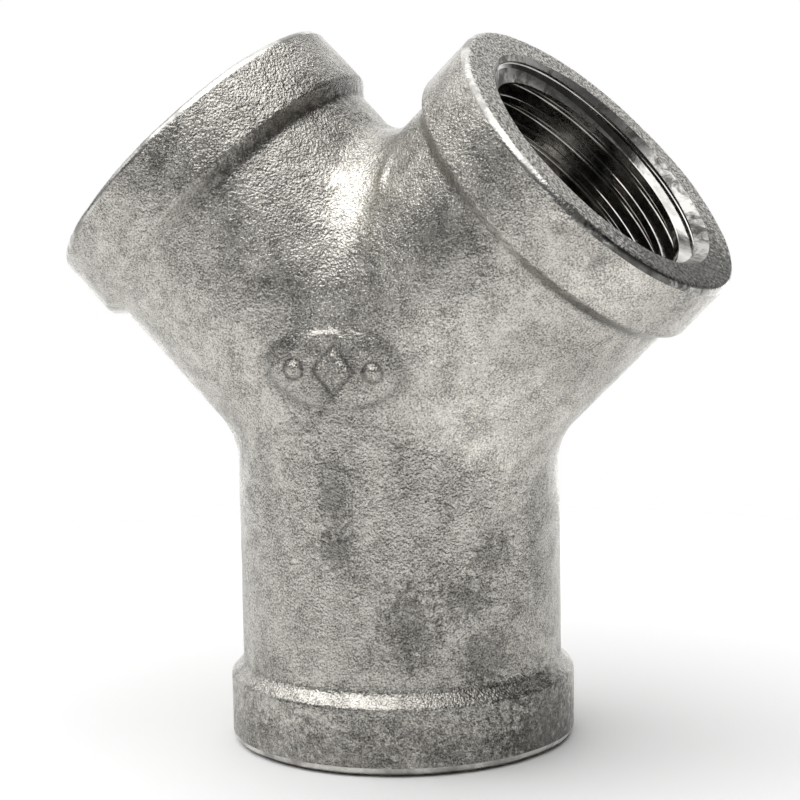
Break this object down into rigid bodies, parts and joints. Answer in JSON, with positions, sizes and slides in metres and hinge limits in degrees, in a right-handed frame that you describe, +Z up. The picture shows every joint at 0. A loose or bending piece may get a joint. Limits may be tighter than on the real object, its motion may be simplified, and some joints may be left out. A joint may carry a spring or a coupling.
{
  "type": "wye pipe fitting",
  "caption": "True wye pipe fitting: a cast stem that splits into branches at 45 degrees either side, each end a plain banded port with an internal pipe thread.",
  "frame": {"origin": "centre of the stem's end face, which it stands on", "axes": "+Z up the stem's axis, the branches lean towards +X and -X in the XZ plane, and -Y is the front with the raised oval pad"},
  "size_m": [0.0528, 0.027, 0.0551],
  "materials": {
    "cast_stainless": "as cast and blasted, warm grey and grainy, with bright machined threads and mouth chamfers"
  },
  "bodies": {
    "root": {"wye_body": "cast_stainless"}
  },
  "joints": []
}
